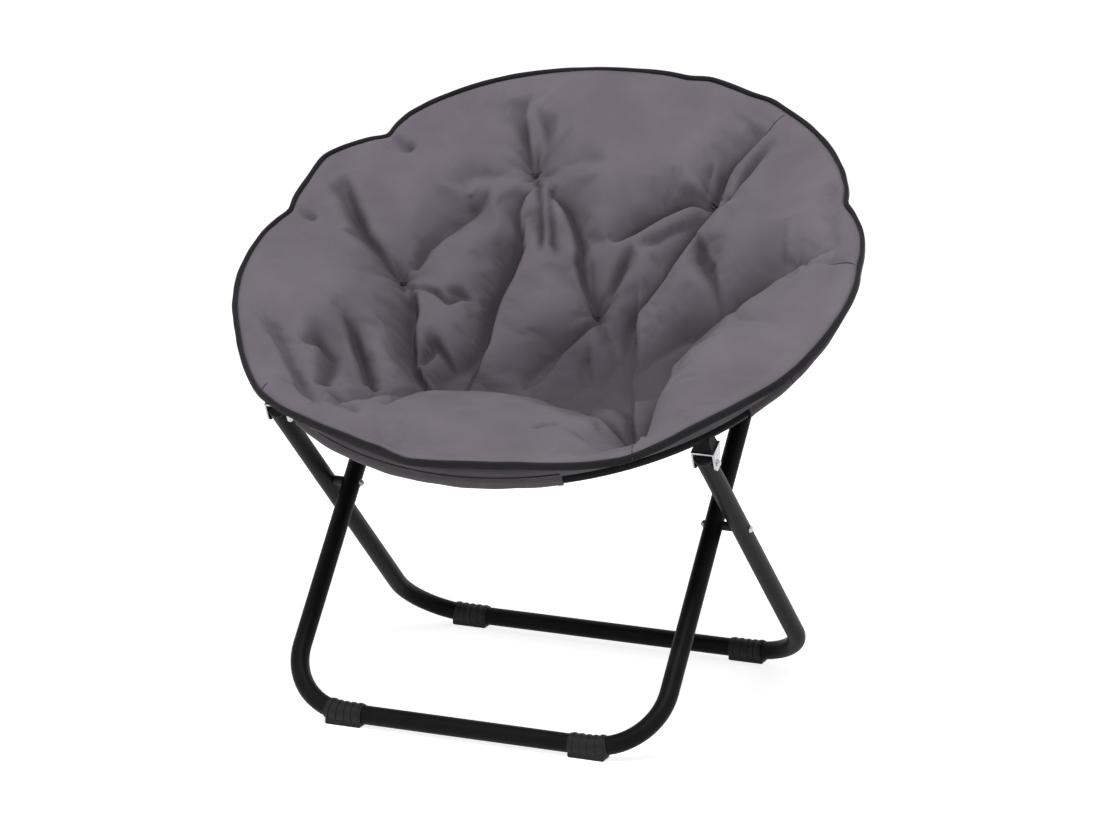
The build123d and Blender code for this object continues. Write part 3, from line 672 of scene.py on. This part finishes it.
def swell(count):
    """Cloth simulation of the padded cover under pressure; how far each point of its top moves.

    The rim, the bottoms of the folds and the whole underside are held.
    """
    x, u, n, under, unit = pad_surface(count)
    top = to_world(x, u, n).reshape(-1, 3)
    low = to_world(x, u, under).reshape(-1, 3)
    points, faces = closed_pad(count, top, low)
    obj = mesh_object("swelling_pad", points, faces, pad_cloth)
    pinned = np.clip((valleys(x, u) - 9) / 14, 0, 1)
    pinned = np.maximum(pinned, np.clip((unit - 0.93) / 0.03, 0, 1)).reshape(-1)
    group = obj.vertex_groups.new(name="held")
    for index, weight in enumerate(pinned):
        if weight > 0.02:
            group.add([index], float(weight), "REPLACE")
    group.add(list(range(len(top), len(points))), 1.0, "REPLACE")
    cloth_sim = obj.modifiers.new("cover", "CLOTH")
    settings = cloth_sim.settings
    settings.quality = 4
    settings.mass = 0.25
    settings.tension_stiffness = 20
    settings.compression_stiffness = 12
    settings.shear_stiffness = 6
    settings.bending_stiffness = 1.5
    settings.vertex_group_mass = group.name
    settings.use_pressure = True
    settings.uniform_pressure_force = 4
    settings.shrink_min = -0.012
    settings.effector_weights.gravity = 0
    cloth_sim.collision_settings.use_collision = False
    cloth_sim.collision_settings.use_self_collision = False
    cloth_sim.point_cache.frame_start = 1
    cloth_sim.point_cache.frame_end = SIM_STEPS
    scene = bpy.context.scene
    for step in range(1, SIM_STEPS + 1):
        scene.frame_set(step)
    solved = obj.evaluated_get(bpy.context.evaluated_depsgraph_get())
    found = np.empty(len(solved.data.vertices) * 3)
    solved.data.vertices.foreach_get("co", found)
    moved = found.reshape(-1, 3)[: len(top)] - top
    bpy.data.objects.remove(obj, do_unlink=True)
    scene.frame_set(1)
    length = np.linalg.norm(moved, axis=1)
    print("swelling: largest move %.1f mm" % (1000 * length.max()))
    keep = np.minimum(1.0, MOST_SWELL / np.maximum(length, 1e-9))
    return (moved * keep[:, None]).reshape(count + 1, count + 1, 3)


def refined(field, count):
    """A coarse grid's values at the points of a finer grid."""
    places = np.linspace(0, field.shape[0] - 1, count + 1)
    low = np.minimum(places.astype(int), field.shape[0] - 2)
    part = (places - low)[:, None, None]
    rows = field[low] * (1 - part) + field[low + 1] * part
    part = (places - low)[None, :, None]
    return rows[:, low] * (1 - part) + rows[:, low + 1] * part


OPEN_BOWL = 0.08   # how enclosed the bowl's walls are where no fold is near; painted shade starts above this
DEEP_FOLD = 0.30   # and how much more in the bottom of a deep one, where the painted shade is full
BOWL_BOTTOM = 112  # from this far under the ring's plane the cloth gets painted shade, in millimetres
DIRECTIONS = 16    # in which each point looks round


def enclosed(top):
    """Share of the light from the ring's open side that the pad itself keeps off each point."""
    normal = np.array([0.0, -math.sin(TILT), math.cos(TILT)])
    place = np.arange(top.shape[0])
    hidden = np.zeros(top.shape[:2])
    for turn in range(DIRECTIONS):
        a = 2 * math.pi * turn / DIRECTIONS
        highest = np.zeros(top.shape[:2])
        for reach in (2, 3, 5, 8, 12, 18, 26, 38, 56, 80):
            rows = np.clip(place + round(reach * math.cos(a)), 0, len(place) - 1)
            columns = np.clip(place + round(reach * math.sin(a)), 0, len(place) - 1)
            gap = top[rows][:, columns] - top
            rise = gap @ normal
            highest = np.maximum(highest, rise / (np.linalg.norm(gap, axis=-1) + 1e-6))
        hidden += highest**2
    return hidden / DIRECTIONS


def paint_fold_shade(x, u, n, top):
    """How much painted shade darkens the cloth's colour at each point of the pad's top, 0 to 1.

    The shade is painted in folds, where the pad shades itself, in the bottom of the deep folds and
    in the bottom of the bowl; it fades out towards the rim.
    """
    # painted shade in the folds
    shade = np.clip((valleys(x, u) - 6) / 44, 0, 1) ** 0.8
    # painted shade where the pad keeps light off itself
    shade = np.maximum(shade, np.clip((enclosed(top) - OPEN_BOWL) / DEEP_FOLD, 0, 1))
    # painted shade in the bottom of the bowl
    bottom_shade = 0.85 * np.clip((-n - BOWL_BOTTOM) / 50, 0, 1)
    shade = 0.76 * (1 - (1 - shade) * (1 - bottom_shade))
    # a painted dark shade line in the bottom of the deep folds
    shade = np.maximum(shade, painted_crease_shade(x, u))
    # the painted shade fades out towards the rim
    return shade * np.clip((RING_R + 12 - np.hypot(x, u)) / 75, 0, 1)


PAD_X, PAD_U, pad_n, pad_under, _ = pad_surface(GRID)
pad_top = to_world(PAD_X, PAD_U, pad_n)
pad_top = pad_top + refined(swell(SIM_GRID), GRID)
pad_points, pad_faces = closed_pad(
    GRID, pad_top.reshape(-1, 3), to_world(PAD_X, PAD_U, pad_under).reshape(-1, 3)
)
pad = mesh_object("seat_pad", pad_points, pad_faces, pad_cloth)
# painted shade, kept on the pad's points for its cloth's colour; the underside's points get none
fold_depth = paint_fold_shade(PAD_X, PAD_U, pad_n, pad_top).reshape(-1)
fold_depth = np.append(fold_depth, np.zeros(len(pad_points) - len(fold_depth)))
pad.data.attributes.new("fold_depth", "FLOAT", "POINT").data.foreach_set("value", fold_depth)
pad_normals = np.empty(len(pad.data.vertices) * 3)
pad.data.vertices.foreach_get("normal", pad_normals)
pad_normals = pad_normals.reshape(-1, 3)


def on_pad(x, u, lift):
    """World point so many millimetres above the pad's top."""
    index = int(np.argmin((PAD_X - x) ** 2 + (PAD_U - u) ** 2))
    point = pad_points[index] + to_world(x, u, 0.0) - to_world(
        PAD_X.reshape(-1)[index], PAD_U.reshape(-1)[index], 0.0
    )
    return point + pad_normals[index] * lift / 1000.0


def tube_along(name, lines, radius, material, sides=6):
    """Thin round threads, of a radius in millimetres, through lists of world points."""
    points, faces = [], []
    for line in lines:
        line = np.asarray(line, float)
        ahead = np.gradient(line, axis=0)
        ahead /= np.linalg.norm(ahead, axis=1)[:, None]
        first = np.cross(ahead, (0.13, 0.31, 0.94))  # a direction that no thread runs along
        first /= np.linalg.norm(first, axis=1)[:, None]
        second = np.cross(ahead, first)
        start = len(points)
        for p, f, g in zip(line, first, second):
            for k in range(sides):
                a = 2 * math.pi * k / sides
                points.append(p + radius / 1000.0 * (f * math.cos(a) + g * math.sin(a)))
        faces += strip_faces(len(line), sides, close_columns=True, offset=start)
        faces.append([start + k for k in reversed(range(sides))])
        faces.append([start + (len(line) - 1) * sides + k for k in range(sides)])
    return mesh_object(name, points, faces, material)


def along_pad(path, lift):
    """World points every 4 mm or so along a path on the pad."""
    line = []
    for (ax, au), (bx, bu) in zip(path, path[1:]):
        count = max(1, int(math.dist((ax, au), (bx, bu)) / 4.0))
        for k in range(count):
            t = k / count
            line.append(on_pad(ax + t * (bx - ax), au + t * (bu - au), lift))
    line.append(on_pad(*path[-1], lift))
    return line


# the seams that cross the pad's face, where the photograph shows them, in pixels
SEAMS_SEEN = {
    "right_panel": [(785, 118), (762, 138), (742, 156), (727, 170)],
    "front": [(632, 458), (632, 450), (632, 442)],
    "left": [(260, 390), (264, 388), (268, 385)],
    "far_right": [(857, 268), (845, 265), (828, 262)],
}
SEAMS = [[on_bowl(px, py) for px, py in seen] for seen in SEAMS_SEEN.values()]
seams = tube_along("pad_seams", [along_pad(path, 0.1) for path in SEAMS], 0.8, thread)

# each tuft is held by three stitches side by side, which rise off the cloth in their middle
TACK_HALF = 7.0
tacks = []
for tuft_x, tuft_u, _, _ in TUFTS:
    for offset, turn in ((-2.0, 0.12), (0.0, -0.05), (2.0, 0.1)):
        across_x, across_u = math.cos(turn) * TACK_HALF, math.sin(turn) * TACK_HALF
        tacks.append([
            on_pad(tuft_x + k * across_x, tuft_u + offset + k * across_u, lift)
            for k, lift in ((-1, 0.2), (-0.3, 1.4), (0.3, 1.4), (1, 0.2))
        ])
tuft_tacks = tube_along("tuft_tacks", tacks, 0.75, thread)


# ---- strips that follow the rim or the ring ------------------------------------------
def ring_strip(name, start, end, section, material, step=1.5, closed_section=False):
    """Sweeps a section round the ring.  section(angle) gives (r, n) pairs in millimetres."""
    whole = end - start >= 359.9
    count = int(round((end - start) / step)) + (0 if whole else 1)
    angles = np.linspace(start, end, count, endpoint=not whole)
    rows = []
    for angle in angles:
        r, n = np.array(section(angle), float).T
        x, u = around(angle, r)
        rows.append(to_world(x, u, n))
    points = np.concatenate(rows)
    columns = len(rows[0])
    faces = strip_faces(len(rows), columns, close_rows=whole, close_columns=closed_section)
    if closed_section and not whole:
        faces.append(list(range(columns))[::-1])
        faces.append([(len(rows) - 1) * columns + k for k in range(columns)])
    return mesh_object(name, points, faces, material)


BINDING_HALF_WIDE = 5.6   # half the binding's width and thickness, in millimetres
BINDING_HALF_THICK = 3.2


def binding_section(angle):
    """Folded tape with round corners, here and there a little fatter."""
    r0, n0 = float(rim_radius(angle)), float(rim_height(angle))
    fat = 1 + 0.08 * math.sin(math.radians(angle) * 41) + 0.06 * math.sin(math.radians(angle) * 67)
    thick = BINDING_HALF_THICK * fat
    points, sides = [], 12
    for k in range(sides):
        a = 2 * math.pi * k / sides
        c, s = math.cos(a), math.sin(a)
        points.append((r0 + thick * abs(c) ** 0.7 * (1 if c > 0 else -1),
                       n0 + BINDING_HALF_WIDE * abs(s) ** 0.7 * (1 if s > 0 else -1)))
    return points


binding = ring_strip("rim_binding", -180, 180, binding_section, binding_tape, 1.0, True)


def round_tube(r, a):
    """Radius and height of a point at a distance r from the middle of the ring's tube."""
    return RING_R + r * math.cos(math.radians(a)), r * math.sin(math.radians(a))


SLING_ON_TUBE = 10.9  # the sling's distance from the middle of the tube
SLING_RINGS = 84      # fine enough to stay outside the pad where the seat bends


def sling_section(angle):
    """From the binding's lower edge over the ring tube to the bowl's underside."""
    r0, n0 = float(rim_radius(angle)), float(rim_height(angle))
    points = [(r0 + 0.4, n0 - 3.5), (r0 - 1.5, n0 - 7)]
    points += [round_tube(SLING_ON_TUBE, a) for a in range(48, 139, 18)]
    for k in range(1, SLING_RINGS + 1):
        r = (RING_R - 12) * (1 - k / SLING_RINGS)
        points.append((r, float(belly(np.array(r))) - 0.6))
    return points


sling = ring_strip("seat_sling", -180, 180, sling_section, sling_cloth, 1.2)
# all its sections end in one point in the middle, which is joined here
bm = bmesh.new()
bm.from_mesh(sling.data)
bmesh.ops.remove_doubles(bm, verts=bm.verts, dist=0.0002)
bm.to_mesh(sling.data)
bm.free()


def sleeve_section(angle, swollen=0.0):
    """Loop of cloth round the ring tube, drawn up to the rim outside it."""
    r0, n0 = float(rim_radius(angle)), float(rim_height(angle))
    full = 9.9 + swollen + 0.35 * math.sin(math.radians(angle) * 23)
    full += 0.25 * math.sin(math.radians(angle) * 51)
    points = [
        (r0 - 0.5, n0 - 5.0),
        (0.45 * r0 + 0.55 * 405, 0.5 * n0 + 5.5),
        (404.6 + swollen, 11.6),
    ]
    return points + [round_tube(full, a) for a in range(48, -204, -18)]


def hem_section(angle):
    """The same loop without its way up to the rim, thicker where the hem is turned in."""
    return sleeve_section(angle, 0.55)[2:]


# name, first and last angle, the CAD node that it replaces, and the body that it rides on
SLEEVES = [
    ("cloth_sleeve_front", -36.0, 20.8, ["sleeve_front"], "front_ring"),
    ("cloth_sleeve_front_left", 57.3, 68.05, ["sleeve_front_left"], "front_ring"),
    ("cloth_sleeve_front_right", -68.05, -57.3, ["sleeve_front_right"], "front_ring"),
    ("cloth_sleeve_rear_left", 68.2, 123.0, ["sleeve_rear_left"], "rear_ring"),
    ("cloth_sleeve_rear_right", -123.0, -68.2, ["sleeve_rear_right"], "rear_ring"),
    ("cloth_sleeve_rear_middle", 157.0, 203.0, ["sleeve_rear_middle"], "rear_ring"),
]
HEM = 0.9             # degrees of ring that a turned hem covers
for name, start, end, replaced, body in SLEEVES:
    piece = ring_strip(name, start, end, sleeve_section, sleeve_cloth, 0.8)
    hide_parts(*replaced)
    hems = []
    for low, high in ((start, start + HEM), (end - HEM, end)):
        # an end that meets another sleeve at the hinge has no hem
        if min(abs(abs(low) - HINGE_ANGLE), abs(abs(high) - HINGE_ANGLE)) > 0.5:
            hem_name = name + ("_hem_a" if low == start else "_hem_b")
            hems.append(ring_strip(hem_name, low, high, hem_section, sleeve_cloth, 0.3))
    # a thin dark tube, a painted shadow line, lies in the gap where the sleeve's cloth draws in
    # under the binding
    shadow_path = [to_world(*around(angle, 404.9), 11.3) for angle in np.arange(start, end, 0.5)]
    line = tube_along(name + "_seam", [shadow_path], 0.9, binding_tape)
    for extra in [piece, line] + hems:
        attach(extra, body)

# a row of stitches along the binding's inner face, and one along its outer face
STITCH_PITCH = 0.62   # degrees, which is 4 to 5 mm
STITCH_LENGTH = 0.4
stitches = []
for shift, drop in ((-3.1, -3.6), (3.1, -3.4)):
    for angle in np.arange(-180, 180, STITCH_PITCH):
        ends = []
        for place in (angle, angle + STITCH_LENGTH):
            x, u = around(place, float(rim_radius(place)) + shift)
            ends.append(to_world(x, u, float(rim_height(place)) + drop))
        stitches.append(ends)
stitching = tube_along("binding_stitches", stitches, 0.38, thread, 4)

# the CAD's own seat pieces are hidden, and the new ones are baked into world coordinates
for piece, replaced, slot in (
    (pad, ("seat_pad_front", "seat_pad_rear"), "seat_cloth"),
    (binding, ("seat_binding_front", "seat_binding_rear"), "binding_cloth"),
    (sling, ("seat_sling_front", "seat_sling_rear"), "sling_cloth"),
    (seams, (), "seat_cloth"),
    (tuft_tacks, (), "seat_cloth"),
    (stitching, (), "binding_cloth"),
):
    if replaced:
        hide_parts(*replaced)
    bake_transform(piece)

# ---- floor and light --------------------------------------------------------------
def shows_backdrop(tree):
    """1 for the rays that see the backdrop itself: camera, glossy and transmission rays."""
    rays = tree.nodes.new("ShaderNodeLightPath")
    result = rays.outputs["Is Camera Ray"]
    for kind in ("Is Glossy Ray", "Is Transmission Ray"):
        either = tree.nodes.new("ShaderNodeMath")
        either.operation = "MAXIMUM"
        tree.links.new(result, either.inputs[0])
        tree.links.new(rays.outputs[kind], either.inputs[1])
        result = either.outputs["Value"]
    return result


def pale_floor():
    """A matt floor that keeps shadows and glows just enough to match the backdrop."""
    m = Nodes("pale_floor")
    m.colour(m.ramp(m.noise(2.0), rgb(247, 247, 247), rgb(250, 250, 250)))
    m.set(Roughness=0.9, Specular_IOR_Level=0.05)
    glow = m.new("ShaderNodeEmission", Color=(1, 1, 1, 1))
    m.link(m.math("MULTIPLY", shows_backdrop(m.tree), 0.78), glow.inputs["Strength"])
    both = m.new("ShaderNodeAddShader")
    m.link(m.shader.outputs["BSDF"], both.inputs[0])
    m.link(glow.outputs["Emission"], both.inputs[1])
    m.link(both.outputs["Shader"], m.tree.nodes["Material Output"].inputs["Surface"])
    return m.material


FLOOR_HALF = 30  # metres
floor = mesh_object(
    "floor",
    [(FLOOR_HALF * x, FLOOR_HALF * y, 0) for x, y in ((-1, -1), (1, -1), (1, 1), (-1, 1))],
    [(0, 1, 2, 3)],
    pale_floor(),
    smooth=False,
)
floor.location.z = -0.0004

world = bpy.data.worlds.new("studio")
bpy.context.scene.world = world
world.use_nodes = True
tree = world.node_tree
lighting = tree.nodes["Background"]
lighting.inputs["Strength"].default_value = 0.24
backdrop = tree.nodes.new("ShaderNodeBackground")
backdrop.inputs["Strength"].default_value = 1.0
for part in (lighting, backdrop):
    part.inputs["Color"].default_value = (1, 1, 1, 1)
mix = tree.nodes.new("ShaderNodeMixShader")
tree.links.new(shows_backdrop(tree), mix.inputs["Fac"])
tree.links.new(lighting.outputs["Background"], mix.inputs[1])
tree.links.new(backdrop.outputs["Background"], mix.inputs[2])
tree.links.new(mix.outputs["Shader"], tree.nodes["World Output"].inputs["Surface"])


def area_light(name, location, size, power):
    """Square lamp, in metres and watts, that points at the chair's middle."""
    data = bpy.data.lights.new(name, "AREA")
    data.shape = "RECTANGLE"
    data.size = data.size_y = size
    data.energy = power
    lamp = bpy.data.objects.new(name, data)
    bpy.context.scene.collection.objects.link(lamp)
    lamp.location = location
    ahead = Vector((0, 0, 0.5)) - Vector(location)
    lamp.rotation_euler = ahead.to_track_quat("-Z", "Y").to_euler()


area_light("key", (0.45, -1.2, 2.8), 0.7, 53)
area_light("fill", (-2.2, -2.2, 1.6), 1.6, 12)
area_light("behind", (0.8, 2.6, 1.1), 1.6, 12)

bpy.context.scene.view_settings.view_transform = "Standard"
